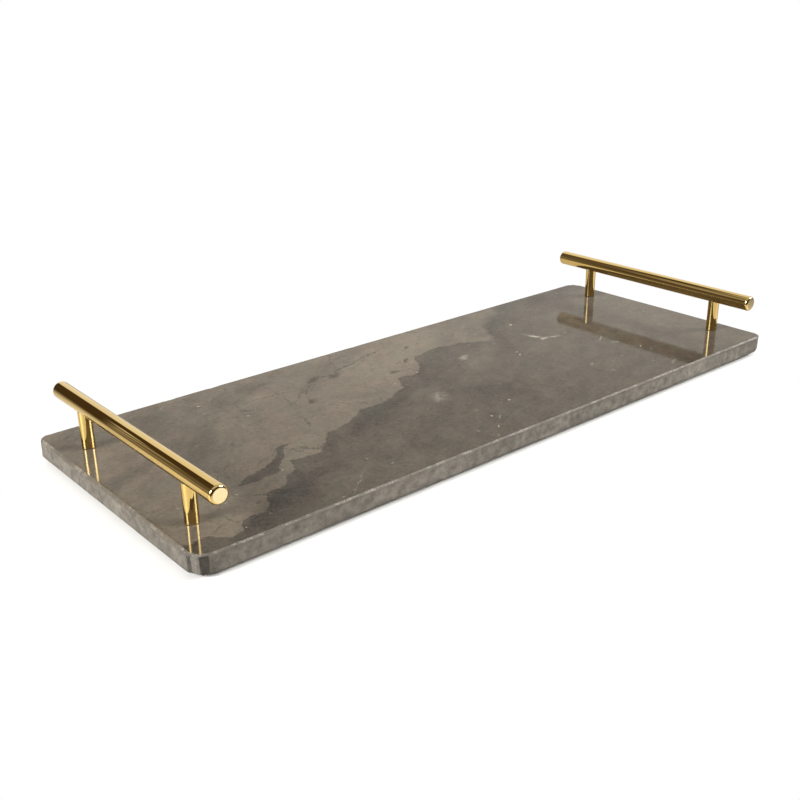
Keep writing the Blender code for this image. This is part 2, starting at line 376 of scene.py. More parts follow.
def spots(flat, shares, core):
    # The sum of many ovals, each as strong as its own last number
    group = bpy.data.node_groups.get("softOval") or spotGroup()
    total = None
    for along, across, length, width, turn, strength in shares:
        share = wire(treeOf(flat), "Group", {
            "Point": flat,
            "Middle": ((along - 0.5) * slabLength, (across - 0.5) * slabWidth, 0),
            "Turn": (0, 0, math.radians(turn)),
            "Size": (length * slabWidth, width * slabWidth, 1),
            "Core": core,
        }, node_tree=group)
        total = times(share, strength) if total is None else timesPlus(share, strength, total)
    return total


def cracks(along, across, lines, breaks):
    total = None
    for line, width, strength in lines.values():
        whole = [(0, line[0][1]), *line, (1, line[-1][1])]
        away = apart(across, drawnLine(along, whole))
        core = ramp(away, width, width * 0.2)
        started = ramp(along, line[0][0], line[0][0] + 0.01)
        ended = ramp(along, line[-1][0], line[-1][0] - 0.01)
        shown = times(times(core, started), times(ended, breaks))
        shown = times(shown, strength)
        total = shown if total is None else plus(total, shown)
    return total


def stoneGroup(name, detailed):
    # The body of the stone, and with detail its clouds, cracks and crystals as well
    tree = bpy.data.node_groups.new(name, "ShaderNodeTree")
    for label, kind in (("Colour", "Color"), ("Depth", "Float")):
        addSocket(tree, "OUTPUT", label, kind)
    point = addNode(tree, "TexCoord").outputs["Object"]

    # The point drifts, so that every line and patch gets a natural, ragged edge
    drifted = point
    for scale, reach, detail in ((24, "slowDrift", 2), (130, "fastDrift", 4), (450, "finestDrift", 4)):
        drift = cloud(point, scale, detail, 0.6, "Color")
        drift = wire(tree, "VectorMath", {0: drift, 1: (0.5, 0.5, 0.5)}, operation="SUBTRACT")
        drift = wire(tree, "VectorMath", {0: drift, "Scale": stone[reach]}, operation="SCALE")
        drifted = wire(tree, "VectorMath", {0: drifted, 1: drift}, operation="ADD")
    flat = wire(tree, "VectorMath", {0: drifted, 1: (1, 1, 0)}, operation="MULTIPLY")
    shares = {"Vector": flat, "Location": (0.5, 0.5, 0), "Scale": (1 / slabLength, 1 / slabWidth, 1)}
    shares = wire(tree, "Mapping", shares)
    parts = partsOf(shares)
    along, across = parts["X"], parts["Y"]

    # Pale and dark stone, the dark stone darkest just under the border
    above = minus(across, drawnLine(along, borderShares))
    blur = ramp(along, 0.6, 0.74, 0.004, 0.04)
    pale = ramp(above, times(blur, -1), blur)
    offTongue = apart(across, drawnLine(along, tongueMiddleShares))
    inTongue = minus(drawnLine(along, tongueHalfShares), offTongue)
    pale = times(pale, ramp(inTongue, 0.003, -0.003))
    rim = ramp(above, -0.16, -0.01, 0.06, -0.2)
    tone = timesPlus(rim, ramp(pale, 1, 0), 1.0)

    # Bedding, angular patches and grain
    bedding = {"Vector": drifted, "Rotation": (0, 0, math.radians(stone["beddingTurn"]))}
    bedding["Scale"] = (stone["beddingStretch"], 1, 1)
    bedding = wire(tree, "Mapping", bedding, vector_type="TEXTURE")
    layers = [
        (cloud(bedding, 24, 3, 0.5), 0.11, 0.09),
        (cloud(bedding, 85, 7, 0.72), 0.36, 0.24),
        (cloud(point, 400, 5, 0.78), 0.34, 0.24),
        (cloud(point, 1000, 3, 0.75), 0.24, 0.15),
    ]
    for layer, onDark, onPale in layers:
        layer = ramp(layer, 0.25, 0.75, -1, 1, soft=False)
        tone = timesPlus(layer, ramp(pale, 0, 1, onDark, onPale), tone)
    patch = addNode(tree, "TexVoronoi", {"Vector": bedding, "Scale": stone["patchScale"]}).outputs["Color"]
    patch = wire(tree, "SeparateColor", {0: patch})
    tone = timesPlus(ramp(patch, 0, 1, -1, 1, soft=False), 0.075, tone)
    if detailed:
        tone = plus(tone, spots(flat, cloudShares, 0.3))
    colour = mixed(pale, stone["dark"], stone["light"])
    warm = ramp(cloud(bedding, 52, 5, 0.6), 0.35, 0.65)
    colour = mixed(1.0, colour, mixed(warm, stone["cool"], stone["warm"]), "MULTIPLY")
    lit = toned(colour, tone)
    if not detailed:
        addNode(tree, "NodeGroupOutput", {"Colour": lit, "Depth": layer})
        return tree

    # Cracks, broken into dashes, and a web of hairlines that is strongest in the pale stone
    breaks = ramp(cloud(point, 210, 4, 0.65), 0.38, 0.56)
    cracked = cracks(along, across, crackShares, breaks)
    cracked = plus(cracked, cracks(across, along, crossCrackShares, breaks))
    cells = {"Vector": drifted, "Scale": stone["hairlineScale"]}
    web = wire(tree, "TexVoronoi", cells, feature="DISTANCE_TO_EDGE")
    hairline = ramp(web, 0.026, 0.004)
    patchy = ramp(cloud(point, 33, 3), 0.46, 0.6)
    hairline = times(times(hairline, breaks), times(patchy, 0.72))
    hairline = times(hairline, ramp(pale, 0, 1, 0.35, 1))
    pits = times(spots(flat, smudgeShares, 0.15), ramp(breaks, 0, 1, 0.45, 1))
    darkening = plus(sums("MAXIMUM", cracked, 0), plus(hairline, pits))
    darkening = sums("MINIMUM", darkening, 0.85)
    lit = mixed(darkening, lit, stone["crack"])

    # Calcite: the flecks in their places, a pale vein, and a scatter of tiny ones
    speck = addNode(tree, "TexVoronoi", {"Vector": drifted, "Scale": stone["speckScale"]})
    chosen = ramp(wire(tree, "SeparateColor", {0: speck.outputs["Color"]}), 0.95, 0.99)
    specks = times(ramp(speck.outputs["Distance"], 0.28, 0.05), times(chosen, 0.28))
    ragged = ramp(cloud(point, 210, 6, 0.75), 0.4, 0.6, 0.12, 1.25)
    flecks = times(spots(flat, fleckShares, 0.25), ragged)
    vein = sums("MAXIMUM", times(cracked, -1), 0)
    whitening = plus(plus(flecks, specks), vein)
    lit = mixed(sums("MINIMUM", whitening, 0.95), lit, stone["fleck"])

    depth = minus(times(layer, 0.3), darkening)
    addNode(tree, "NodeGroupOutput", {"Colour": lit, "Depth": depth})
    return tree


# How each face of the slab is finished
finishes = {
    "index": 1.5,  # how strongly the stone and the paper floor bend light
    "topRoughness": (0.055, 0.095),
    "topShine": 0.088,
    "sideRoughness": (0.42, 0.62),
    "sideShine": 0.3,
    "sideGrey": (0.139, 0.133, 0.128, 1),
    "sideMottle": (0.48, 1.54),
    "arrisRoughness": (0.4, 0.62),
    "arrisShine": 0.25,
    "arrisPale": (0.2, 0.187, 0.168, 1),
    "sawnRoughness": (0.62, 0.8),
    "sawnGrey": (0.15, 0.138, 0.124, 1),
}


def polishedTop(pattern):
    material, tree, point = newMaterial("polishedMarbleTop")
    marble = addNode(tree, "Group", node_tree=pattern).outputs
    smear = cloud(point, 60, 5, 0.6)
    roughness = ramp(smear, 0.3, 0.7, *finishes["topRoughness"])
    roughness = timesPlus(times(marble["Depth"], -1), 0.04, roughness)
    swell = cloud(point, 14, 2)
    height = timesPlus(marble["Depth"], 0.03, swell)
    return surface(material, {
        "Base Color": marble["Colour"],
        "Roughness": roughness,
        "IOR": finishes["index"],
        "Specular IOR Level": finishes["topShine"],
        "Normal": bumpy(height, 0.01, 0.0003),
    })


# Patches that make the honed sides lighter or darker, in the same terms as the clouds above
sideShares = [
    (0.011, 0.007, 0.015, 0.012, -23, -0.62),
    (0.0006, 0.04, 0.009, 0.007, 90, -0.5),
    (0.0027, 0.027, 0.011, 0.008, -61, 0.38),
    (0.996, 0.01, 0.01, 0.01, 45, -0.22),
    (0.885, 0, 0.017, 0.02, 0, 0.16),
    (0.906, 0, 0.009, 0.02, 0, -0.2),
    (0.93, 0, 0.01, 0.02, 0, 0.16),
    (0.956, 0, 0.025, 0.02, 0, -0.08),
    (0.08, 0, 0.12, 0.03, 0, 0.05),
    (0.3, 0, 0.25, 0.03, 0, 0.13),
    (0.61, 0, 0.15, 0.03, 0, -0.06),
    (0.8376, 0, 0.11, 0.03, 0, 0.26),
    (0, 0.24, 0.15, 0.03, 90, -0.2),
    (0, 0.8, 0.05, 0.03, 90, 0.1),
    (0, 0.55, 0.06, 0.03, 90, -0.1),
]


def honedSide(pattern):
    material, tree, point = newMaterial("honedMarbleSide")
    marble = addNode(tree, "Group", node_tree=pattern).outputs
    parts = partsOf(point)
    colour = mixed(0.7, toned(marble["Colour"], 1.7), finishes["sideGrey"])
    wide = ramp(cloud(point, 38, 4, 0.6), 0.28, 0.72, 0.8, 1.2, soft=False)
    mottle = ramp(cloud(point, 150, 7, 0.72), 0.28, 0.72, *finishes["sideMottle"], soft=False)
    upright = wire(tree, "Mapping", {"Vector": point, "Scale": (1, 1, 0.12)})
    streak = ramp(cloud(upright, 170, 4, 0.6), 0.35, 0.65, -1, 1)
    streak = timesPlus(streak, ramp(parts["X"], 0.08, 0.24, 0.012, 0.1), 1.0)
    grit = ramp(cloud(point, 1900, 3, 0.7), 0.3, 0.7, 0.72, 1.28, soft=False)
    # A faint line of painted shade under the arris, where a groove would shade it, and darkening towards the
    # lower rim
    fromTop = minus(slabHigh.z, parts["Z"])
    ragged = ramp(cloud(point, 75, 5, 0.65), 0.36, 0.62)
    line = times(between(fromTop, 0.0016, 0.0024, 0.0006), ragged)
    low = ramp(parts["Z"], slabLow.z + 0.004, slabLow.z + 0.0006)
    low = times(low, ramp(cloud(point, 60, 5, 0.65), 0.3, 0.7, 0.3, 1))
    shade = timesPlus(line, -0.3, 1.0)
    shade = timesPlus(low, -0.3, shade)
    flat = wire(tree, "VectorMath", {0: point, 1: (1, 1, 0)}, operation="MULTIPLY")
    shade = plus(shade, spots(flat, sideShares, 0.75))
    tone = times(times(mottle, wide), times(streak, grit))
    colour = toned(colour, times(tone, shade))
    smooth, rough = finishes["sideRoughness"]
    height = timesPlus(cloud(point, 1300, 4, 0.7), 0.6, times(mottle, 0.5))
    return surface(material, {
        "Base Color": colour,
        "Roughness": ramp(mottle, 0.8, 1.18, rough, smooth),
        "IOR": finishes["index"],
        "Specular IOR Level": finishes["sideShine"],
        "Normal": bumpy(height, 0.4, 0.0003),
    })


def groundArris(pattern):
    material, tree, point = newMaterial("groundMarbleArris")
    marble = addNode(tree, "Group", node_tree=pattern).outputs
    stretch = ramp(cloud(point, 90, 4, 0.6), 0.45, 0.62)
    crush = ramp(cloud(point, 520, 5, 0.75), 0.42, 0.58)
    sparkle = ramp(cloud(point, 1300, 3, 0.7), 0.54, 0.64)
    dull = toned(marble["Colour"], 1.05)
    share = ramp(times(crush, stretch), 0, 1, 0.22, 0.9)
    colour = mixed(share, dull, finishes["arrisPale"])
    colour = mixed(times(sparkle, times(stretch, 0.6)), colour, stone["fleck"])
    height = cloud(point, 800, 5, 0.75)
    return surface(material, {
        "Base Color": colour,
        "Roughness": ramp(crush, 0, 1, *finishes["arrisRoughness"]),
        "IOR": finishes["index"],
        "Specular IOR Level": finishes["arrisShine"],
        "Normal": bumpy(height, 0.6, 0.0004),
    })


def sawnUnderside(pattern):
    material, tree, point = newMaterial("sawnMarbleUnderside")
    marble = addNode(tree, "Group", node_tree=pattern).outputs
    colour = mixed(0.5, marble["Colour"], finishes["sawnGrey"])
    along = wire(tree, "Mapping", {"Vector": point, "Scale": (0.03, 1, 1)})
    kerf = cloud(along, 420, 4, 0.6)
    dust = cloud(point, 700, 5, 0.7)
    tone = times(ramp(kerf, 0.3, 0.7, 0.9, 1.08), ramp(dust, 0.3, 0.7, 0.88, 1.12))
    colour = toned(colour, tone)
    return surface(material, {
        "Base Color": colour,
        "Roughness": ramp(dust, 0.3, 0.7, *finishes["sawnRoughness"]),
        "IOR": finishes["index"],
        "Normal": bumpy(plus(kerf, times(dust, 0.5)), 0.45, 0.0003),
    })


# The slab: a rounded plate whose rim is ground by hand, so no two corners are quite alike
slab = {
    "cornerRadius": {"leftFront": 0.0062, "rightFront": 0.0066, "rightBack": 0.0085, "leftBack": 0.0052},
    # Flats ground on each corner: which way each faces, and how much it takes off the square corner,
    # at the top and at the bottom
    "cornerFlats": {
        "leftFront": ((208.6, 0.0039, 0.0052), (247, 0.0038, 0.0038), (260, 0.0017, 0.0029)),
        "rightFront": ((293, 0.0031, 0.0034), (330, 0.003, 0.0028)),
        "rightBack": ((22, 0.0038, 0.0036), (66, 0.004, 0.0043)),
        "leftBack": ((117, 0.0023, 0.0027), (154, 0.0024, 0.0021)),
    },
    "longArris": 0.001,
    "endArris": 0.0016,
    "underArris": 0.0012,
    "pointSpacing": 0.0009,
    "cornerSpacing": 0.0003,
    "arrisRings": 4,
    "sideRings": 4,
    "unevenArrisShare": 0.16,
    "roughGrinding": 0.0001,
    "flatWaver": 0.00012,
    "sideWaver": 0.00005,
    "chipDepth": 0.0007,
    "chipRarity": 0.38,
    "pocketRadius": 0.0055,
    "holeRadius": 0.0025,
    "pocketDepth": 0.005,
    "holePoints": 40,
    "fillSpacing": 0.008,
}


def waver(x, y, scale, seed):
    return noise.noise(Vector((x * scale, y * scale, seed)))


def slabOutline():
    # Points round the rim, anticlockwise, each with its outward direction
    halfX, halfY = slabLength / 2, slabWidth / 2
    radii = slab["cornerRadius"]
    corners = [
        (-halfX, -halfY, radii["leftFront"], 180),
        (halfX, -halfY, radii["rightFront"], 270),
        (halfX, halfY, radii["rightBack"], 0),
        (-halfX, halfY, radii["leftBack"], 90),
    ]
    points = []
    for index, (x, y, radius, start) in enumerate(corners):
        middle = Vector((x - math.copysign(radius, x), y - math.copysign(radius, y)))
        steps = round(math.pi / 2 * radius / slab["cornerSpacing"])
        for step in range(steps + 1):
            turn = math.radians(start + 90 * step / steps)
            out = Vector((math.cos(turn), math.sin(turn)))
            points.append((middle + out * radius, out))
        x, y, radius, _ = corners[(index + 1) % 4]
        first, out = points[-1]
        last = Vector((x - math.copysign(radius, x), y - math.copysign(radius, y))) + out * radius
        count = round((last - first).length / slab["pointSpacing"])
        points.extend((first.lerp(last, step / count), out.copy()) for step in range(1, count))
    return points


def onFlats(x, y, height):
    # Pulls a corner's point back to the flats that are ground there
    name = ("left" if x < 0 else "right") + ("Front" if y < 0 else "Back")
    down = (slabHigh.z - height) / (slabHigh.z - slabLow.z)
    for angle, top, bottom in slab["cornerFlats"][name]:
        out = Vector((math.cos(math.radians(angle)), math.sin(math.radians(angle))))
        reach = out.x * math.copysign(slabLength / 2, x) + out.y * math.copysign(slabWidth / 2, y)
        beyond = out.x * x + out.y * y - reach + top + (bottom - top) * down
        beyond += slab["flatWaver"] * waver(x, y, 500, height * 500 + angle)
        if beyond > 0:
            x, y = x - out.x * beyond, y - out.y * beyond
    return x, y


def chipAt(x, y, seed):
    # Small shells broken out of the arris here and there
    shell = max(0.0, waver(x, y, 95, seed) - slab["chipRarity"]) * 2.2
    return shell * max(0.0, 0.55 + waver(x, y, 420, seed + 7))


def rimSection(x, y, out):
    # Distance in from the side and height, from the top's edge down to the underside's edge
    endShare = out.x ** 2
    arris = slab["endArris"] * endShare + slab["longArris"] * (1 - endShare)
    arris *= 1 + slab["unevenArrisShare"] * waver(x, y, 40, 3)
    chip = chipAt(x, y, 11) * slab["chipDepth"]
    section = []
    rings = slab["arrisRings"]
    for ring in range(rings + 1):
        share = 1 - ring / rings
        swell = math.sin(math.pi * share) * 0.1 * arris
        dip = chip * math.sin(math.pi * (0.15 + 0.7 * share))
        rough = 0 if ring in (0, rings) else waver(x, y, 900, ring * 1.7) * slab["roughGrinding"]
        inward = arris * share - swell + dip - rough
        drop = arris * (1 - share) - swell * 0.4 + dip
        if ring == 0:
            inward, drop = arris + chip, 0
        section.append((max(0.0, inward), slabHigh.z - max(0.0, drop)))
    low = slabLow.z + slab["underArris"] * (1 + 0.15 * waver(x, y, 50, 9))
    high = section[-1][1]
    for ring in range(1, slab["sideRings"] + 1):
        share = ring / slab["sideRings"]
        wave = (waver(x, y, 30, ring * 0.6) - 0.3) * slab["sideWaver"]
        section.append((max(0.0, -wave) if ring < slab["sideRings"] else 0.0, high + (low - high) * share))
    underChip = chipAt(x, y, 23) * slab["chipDepth"] * 0.8
    section.append((slab["underArris"] * 0.5 + underChip, (low + slabLow.z) / 2 + underChip * 0.3))
    section.append((slab["underArris"] + underChip, slabLow.z))
    return section


def ringOf(mesh, middle, radius, height, count):
    ring = []
    for step in range(count):
        turn = math.tau * step / count
        x, y = middle.x + radius * math.cos(turn), middle.y + radius * math.sin(turn)
        ring.append(mesh.verts.new((x, y, height)))
    return ring


def joinRings(mesh, upper, lower, material, smooth=True):
    for index in range(len(upper)):
        following = (index + 1) % len(upper)
        face = mesh.faces.new((upper[index], lower[index], lower[following], upper[following]))
        face.material_index = material
        face.smooth = smooth


def fillFlat(mesh, rim, holes, material, facing):
    # A flat face inside the rim, open where the holes are, in even triangles
    height = rim[0].co.z
    corners = []
    edges = []
    for loop in (rim, *holes):
        start = len(corners)
        corners.extend(loop)
        edges.extend((start + index, start + (index + 1) % len(loop)) for index in range(len(loop)))
    spacing = slab["fillSpacing"]
    points = [corner.co.xy for corner in corners]
    countX, countY = (int(size / spacing) - 1 for size in (slabLength, slabWidth))
    for row in range(countY):
        for column in range(countX):
            spot = Vector(((column - (countX - 1) / 2) * spacing, (row - (countY - 1) / 2) * spacing))
            if all((spot - hole[0].co.xy).length > spacing for hole in holes):
                points.append(spot)
    found, _, faces, origins, _, _ = delaunay_2d_cdt(points, edges, [], 1, 0.0000001)
    corners.extend(mesh.verts.new((spot.x, spot.y, height)) for spot in points[len(corners):])
    middles = [sum((corner.co.xy for corner in hole), Vector((0, 0))) / len(hole) for hole in holes]
    reach = [(hole[0].co.xy - middle).length for hole, middle in zip(holes, middles)]
    for face in faces:
        centre = sum((found[index] for index in face), Vector((0, 0))) / len(face)
        if any((centre - middle).length < radius for middle, radius in zip(middles, reach)):
            continue
        turned = face if facing > 0 else list(reversed(face))
        made = mesh.faces.new([corners[origins[index][0]] for index in turned])
        made.material_index = material


def makeSlab(materials):
    mesh = bmesh.new()
    outline = slabOutline()
    sections = [rimSection(point.x, point.y, out) for point, out in outline]
    rings = []
    for level in range(len(sections[0])):
        ring = []
        for (point, out), section in zip(outline, sections):
            inward, height = section[level]
            x, y = onFlats(point.x, point.y, height)
            ring.append(mesh.verts.new((x - out.x * inward, y - out.y * inward, height)))
        rings.append(ring)
    arrisRings, sideRings = slab["arrisRings"], slab["sideRings"]
    for level in range(len(rings) - 1):
        onSide = arrisRings <= level < arrisRings + sideRings
        joinRings(mesh, rings[level], rings[level + 1], 2 if onSide else 1)
    topHoles, pockets = [], []
    for end in (-1, 1):
        for side in (-1, 1):
            middle = Vector((end * handleSpan / 2, side * postSpan / 2))
            ceiling = slabLow.z + slab["pocketDepth"]
            narrow, wide, count = slab["holeRadius"], slab["pocketRadius"], slab["holePoints"]
            levels = ((narrow, slabHigh.z), (narrow, ceiling), (wide, ceiling), (wide, slabLow.z))
            hole, holeFoot, pocket, pocketFoot = (ringOf(mesh, middle, *level, count) for level in levels)
            joinRings(mesh, hole, holeFoot, 3)
            joinRings(mesh, holeFoot, pocket, 3, smooth=False)
            joinRings(mesh, pocket, pocketFoot, 3)
            topHoles.append(hole)
            pockets.append(pocketFoot)
    fillFlat(mesh, rings[0], topHoles, 0, 1)
    fillFlat(mesh, rings[-1], pockets, 3, -1)
    bmesh.ops.recalc_face_normals(mesh, faces=mesh.faces)
    data = bpy.data.meshes.new("marbleSlab")
    mesh.to_mesh(data)
    mesh.free()
    for material in materials:
        data.materials.append(material)
    data.set_sharp_from_angle(angle=math.radians(32))
    for polygon in data.polygons:
        if polygon.material_index in (0, 3):
            polygon.use_smooth = False
    return linked("marbleSlab", data)


# Finish of the metals, with the bars' flat ends turned, and of the rubber
metals = {
    "brass": (0.682, 0.503, 0.2, 1),
    "tarnish": (0.607, 0.427, 0.156, 1),
    "brassRoughness": (0.012, 0.03),
    # Colours of the bars' flat ends, painted paler than the brass as a highlight
    "endPaintedSheenDark": (0.66, 0.53, 0.3, 1),
    "endPaintedSheenPale": (0.72, 0.59, 0.36, 1),
    "turnedRoughness": (0.1, 0.2),
    "scratch": (0.3, 0.22, 0.1, 1),
    "zincDark": (0.48, 0.5, 0.53, 1),
    "zincPale": (0.6, 0.6, 0.58, 1),
    "zincRoughness": (0.24, 0.42),
}
rubbers = {"black": (0.022, 0.022, 0.023, 1), "dust": (0.075, 0.073, 0.07, 1), "roughness": (0.66, 0.84)}


def polishedBrass():
    material, tree, point = newMaterial("polishedBrass")
    drawn = wire(tree, "Mapping", {"Vector": point, "Scale": (1, 0.02, 0.35)})
    lines = cloud(drawn, 2600, 3, 0.6)
    handled = cloud(point, 90, 5, 0.6)
    tarnish = ramp(cloud(point, 40, 3), 0.35, 0.7)
    colour = mixed(times(tarnish, 0.35), metals["brass"], metals["tarnish"])
    roughness = ramp(handled, 0.3, 0.7, *metals["brassRoughness"])
    roughness = timesPlus(ramp(lines, 0.45, 0.7), 0.012, roughness)
    height = timesPlus(lines, 0.25, cloud(point, 260, 2))
    # The bars' flat ends are turned: satin, with rings and a few scratches, and their colour is painted paler
    # than the brass as a highlight
    parts = partsOf(point)
    endPlace = barLength / 2
    atEnd = ramp(sums("ABSOLUTE", parts["Y"]), endPlace - 0.00012, endPlace - 0.00003)
    offAxis = minus(sums("ABSOLUTE", parts["X"]), handleSpan / 2)
    offAxis = wire(tree, "CombineXYZ", {"X": offAxis, "Y": minus(parts["Z"], barAxis)})
    reach = addNode(tree, "VectorMath", {0: offAxis}, operation="LENGTH").outputs["Value"]
    rings = cloud(wire(tree, "CombineXYZ", {"X": reach}), 3200, 3, 0.6)
    off = apart(cloud(point, 150, 3, 0.6), 0.5)
    scratch = times(ramp(off, 0.01, 0.002), ramp(handled, 0.48, 0.56))
    # Painted highlight: the flat ends' colour is paler than the brass, between two ring tones
    turned = mixed(ramp(rings, 0.35, 0.65), metals["endPaintedSheenDark"], metals["endPaintedSheenPale"])
    turned = mixed(times(scratch, 0.7), turned, metals["scratch"])
    colour = mixed(atEnd, colour, turned)
    roughness = timesPlus(atEnd, ramp(rings, 0.3, 0.7, *metals["turnedRoughness"]), roughness)
    height = timesPlus(times(atEnd, rings), 1.5, height)
    return surface(material, {
        "Base Color": colour,
        "Metallic": 1.0,
        "Roughness": roughness,
        "Normal": bumpy(height, 0.02, 0.0003),
    })


def zincSteel():
    material, tree, point = newMaterial("zincSteel")
    spangle = wire(tree, "TexVoronoi", {"Vector": point, "Scale": 900.0})
    haze = cloud(point, 300, 4, 0.6)
    colour = mixed(ramp(haze, 0.35, 0.65), metals["zincDark"], metals["zincPale"])
    worn = plus(haze, times(spangle, 0.3))
    return surface(material, {
        "Base Color": colour,
        "Metallic": 1.0,
        "Roughness": ramp(worn, 0.3, 0.9, *metals["zincRoughness"]),
        "Normal": bumpy(spangle, 0.12, 0.0002),
    })


def footRubber():
    material, _, point = newMaterial("footRubber")
    grain = cloud(point, 2200, 4, 0.7)
    dust = cloud(point, 320, 4, 0.6)
    return surface(material, {
        "Base Color": mixed(ramp(dust, 0.5, 0.75, 0, 0.5), rubbers["black"], rubbers["dust"]),
        "Roughness": ramp(grain, 0.3, 0.7, *rubbers["roughness"]),
        "Normal": bumpy(grain, 0.4, 0.0002),
    })


# Geometry Nodes: a turned form is a profile of radius and height, swept about the upright axis
def form(tree, kind, inputs=None, **settings):
    return wire(tree, "GeometryNode" + kind, inputs, **settings)


def newTree(name, sizes):
    tree = bpy.data.node_groups.new(name, "GeometryNodeTree")
    addSocket(tree, "OUTPUT", "Geometry", "Geometry")
    for label, value in sizes.items():
        kind = "Material" if label == "Material" else "Int" if isinstance(value, int) else "Float"
        addSocket(tree, "INPUT", label, kind)
    return tree, tree.nodes.new("NodeGroupInput").outputs


def turnedForm(tree, profile, segments, softEdge=None, closed=False, steps=4):
    count = len(profile)
    line = form(tree, "MeshLine", {"Count": count, "Offset": (0, 0, 0.001)})
    line = form(tree, "MeshToCurve", {"Mesh": line})
    chosen = addNode(tree, "GeometryNodeIndexSwitch", data_type="VECTOR")
    while len(chosen.index_switch_items) < count:
        chosen.index_switch_items.new()
    tree.links.new(form(tree, "InputIndex"), chosen.inputs["Index"])
    for index, (radius, height) in enumerate(profile):
        tree.links.new(wire(tree, "CombineXYZ", {"X": radius, "Y": height}), chosen.inputs[index + 1])
    line = form(tree, "SetPosition", {"Geometry": line, "Position": chosen.outputs[0]})
    if closed:
        line = form(tree, "SetSplineCyclic", {"Geometry": line, "Cyclic": True})
    if softEdge is not None:
        rounding = {"Curve": line, "Count": steps, "Radius": softEdge, "Limit Radius": True}
        line = form(tree, "FilletCurve", rounding, mode="POLY")
    circle = form(tree, "CurvePrimitiveCircle", {"Resolution": segments, "Radius": 0.000001})
    circle = form(tree, "SetCurveNormal", {"Curve": circle}, mode="Z_UP")
    swept = form(tree, "CurveToMesh", {"Curve": circle, "Profile Curve": line})
    upright = form(tree, "Transform", {"Geometry": swept, "Rotation": (math.pi, 0, 0)})
    return form(tree, "MergeByDistance", {"Geometry": upright, "Distance": 0.00001})


def roundedEdge(inner, outer, rise, steps):
    # A quarter oval, from the inner radius at the foot out to the outer one
    edge = []
    for step in range(1, steps + 1):
        turn = math.pi / 2 * step / steps
        radius = timesPlus(minus(outer, inner), math.sin(turn), inner)
        edge.append((radius, times(rise, 1 - math.cos(turn))))
    return edge


def finishTree(tree, geometry, material):
    real = form(tree, "RealizeInstances", {"Geometry": geometry})
    painted = form(tree, "SetMaterial", {"Geometry": real, "Material": material})
    addNode(tree, "NodeGroupOutput", {"Geometry": painted})


def grown(name, tree, sizes):
    # Runs the tree once and keeps the result as a plain mesh
    start = linked(name, bpy.data.meshes.new(name))
    modifier = start.modifiers.new("build", "NODES")
    modifier.node_group = tree
    for item in tree.interface.items_tree:
        if item.in_out == "INPUT":
            modifier[item.identifier] = sizes[item.name]
    bpy.context.view_layer.update()
    built = start.evaluated_get(bpy.context.evaluated_depsgraph_get())
    mesh = bpy.data.meshes.new_from_object(built)
    start.modifiers.clear()
    start.data = mesh
    mesh.name = name
    fixer = bmesh.new()
    fixer.from_mesh(mesh)
    bmesh.ops.remove_doubles(fixer, verts=fixer.verts, dist=0.000001)
    bmesh.ops.recalc_face_normals(fixer, faces=fixer.faces)
    fixer.to_mesh(mesh)
    fixer.free()
    mesh.shade_smooth()
    mesh.set_sharp_from_angle(angle=math.radians(38))
    return start


def finishFour(tree, piece, given):
    # One at each corner of a grid, as far up as its own foot
    grid = {"Size X": given["Span X"], "Size Y": given["Span Y"], "Vertices X": 2, "Vertices Y": 2}
    places = form(tree, "MeshGrid", grid)
    lift = wire(tree, "CombineXYZ", {"Z": given["Foot"]} if "Foot" in given else None)
    places = form(tree, "SetPosition", {"Geometry": places, "Offset": lift})
    finishTree(tree, form(tree, "InstanceOnPoints", {"Points": places, "Instance": piece}), given["Material"])


handleBar = {
    "Length": barLength,
    "Radius": barRadius,
    "End Round": 0.0018,
    "Segments": 144,
}


def makeBars(brass):
    sizes = {**handleBar, "Span": handleSpan, "Height": barAxis, "Material": brass}
    tree, given = newTree("handleBars", sizes)
    half = sums("DIVIDE", given["Length"], 2.0)
    foot = times(half, -1.0)
    corners = [(0, half), (given["Radius"], half), (given["Radius"], foot), (0, foot)]
    rod = turnedForm(tree, corners, given["Segments"], given["End Round"], steps=10)
    lying = form(tree, "Transform", {"Geometry": rod, "Rotation": (math.pi / 2, 0, 0)})
    places = addNode(tree, "GeometryNodeMeshLine", {"Count": 2}, mode="END_POINTS")
    for socket, sign in (("Start Location", -0.5), ("Offset", 0.5)):
        x = times(given["Span"], sign)
        tree.links.new(wire(tree, "CombineXYZ", {"X": x, "Z": given["Height"]}), places.inputs[socket])
    both = form(tree, "InstanceOnPoints", {"Points": places.outputs[0], "Instance": lying})
    finishTree(tree, both, given["Material"])
    return grown("handleBars", tree, sizes)


handlePost = {
    "Radius": postRadius,
    "Foot Bevel": 0.0004,
    "Soft Edge": 0.00015,
    "Seat Gap": 0.00005,
    "Segments": 120,
}


def makePosts(brass):
    foot = slabHigh.z + 0.00003  # just clear of the stone
    reach = {"Bar Radius": barRadius, "Height": barAxis - foot, "Foot": foot}
    sizes = {**handlePost, **reach, **postSpans, "Material": brass}
    tree, given = newTree("handlePosts", sizes)
    radius, top = given["Radius"], given["Height"]
    footFace = minus(radius, given["Foot Bevel"])
    inner = [(times(radius, share), top) for share in (0.25, 0.5, 0.75)]
    profile = [
        (0, 0), (footFace, 0), (radius, given["Foot Bevel"]), (radius, times(top, 0.5)),
        (radius, top), *reversed(inner), (0, top),
    ]
    post = turnedForm(tree, profile, given["Segments"])
    # The top is coped to the bar that it carries
    seat = plus(given["Bar Radius"], given["Seat Gap"])
    spot = partsOf(form(tree, "InputPosition"))
    chord = sums("SQRT", minus(times(seat, seat), times(spot["X"], spot["X"])))
    coped = wire(tree, "CombineXYZ", {"X": spot["X"], "Y": spot["Y"], "Z": minus(top, chord)})
    atTop = sums("GREATER_THAN", spot["Z"], times(top, 0.75))
    post = form(tree, "SetPosition", {"Geometry": post, "Selection": atTop, "Position": coped})
    finishFour(tree, post, given)
    return grown("handlePosts", tree, sizes)


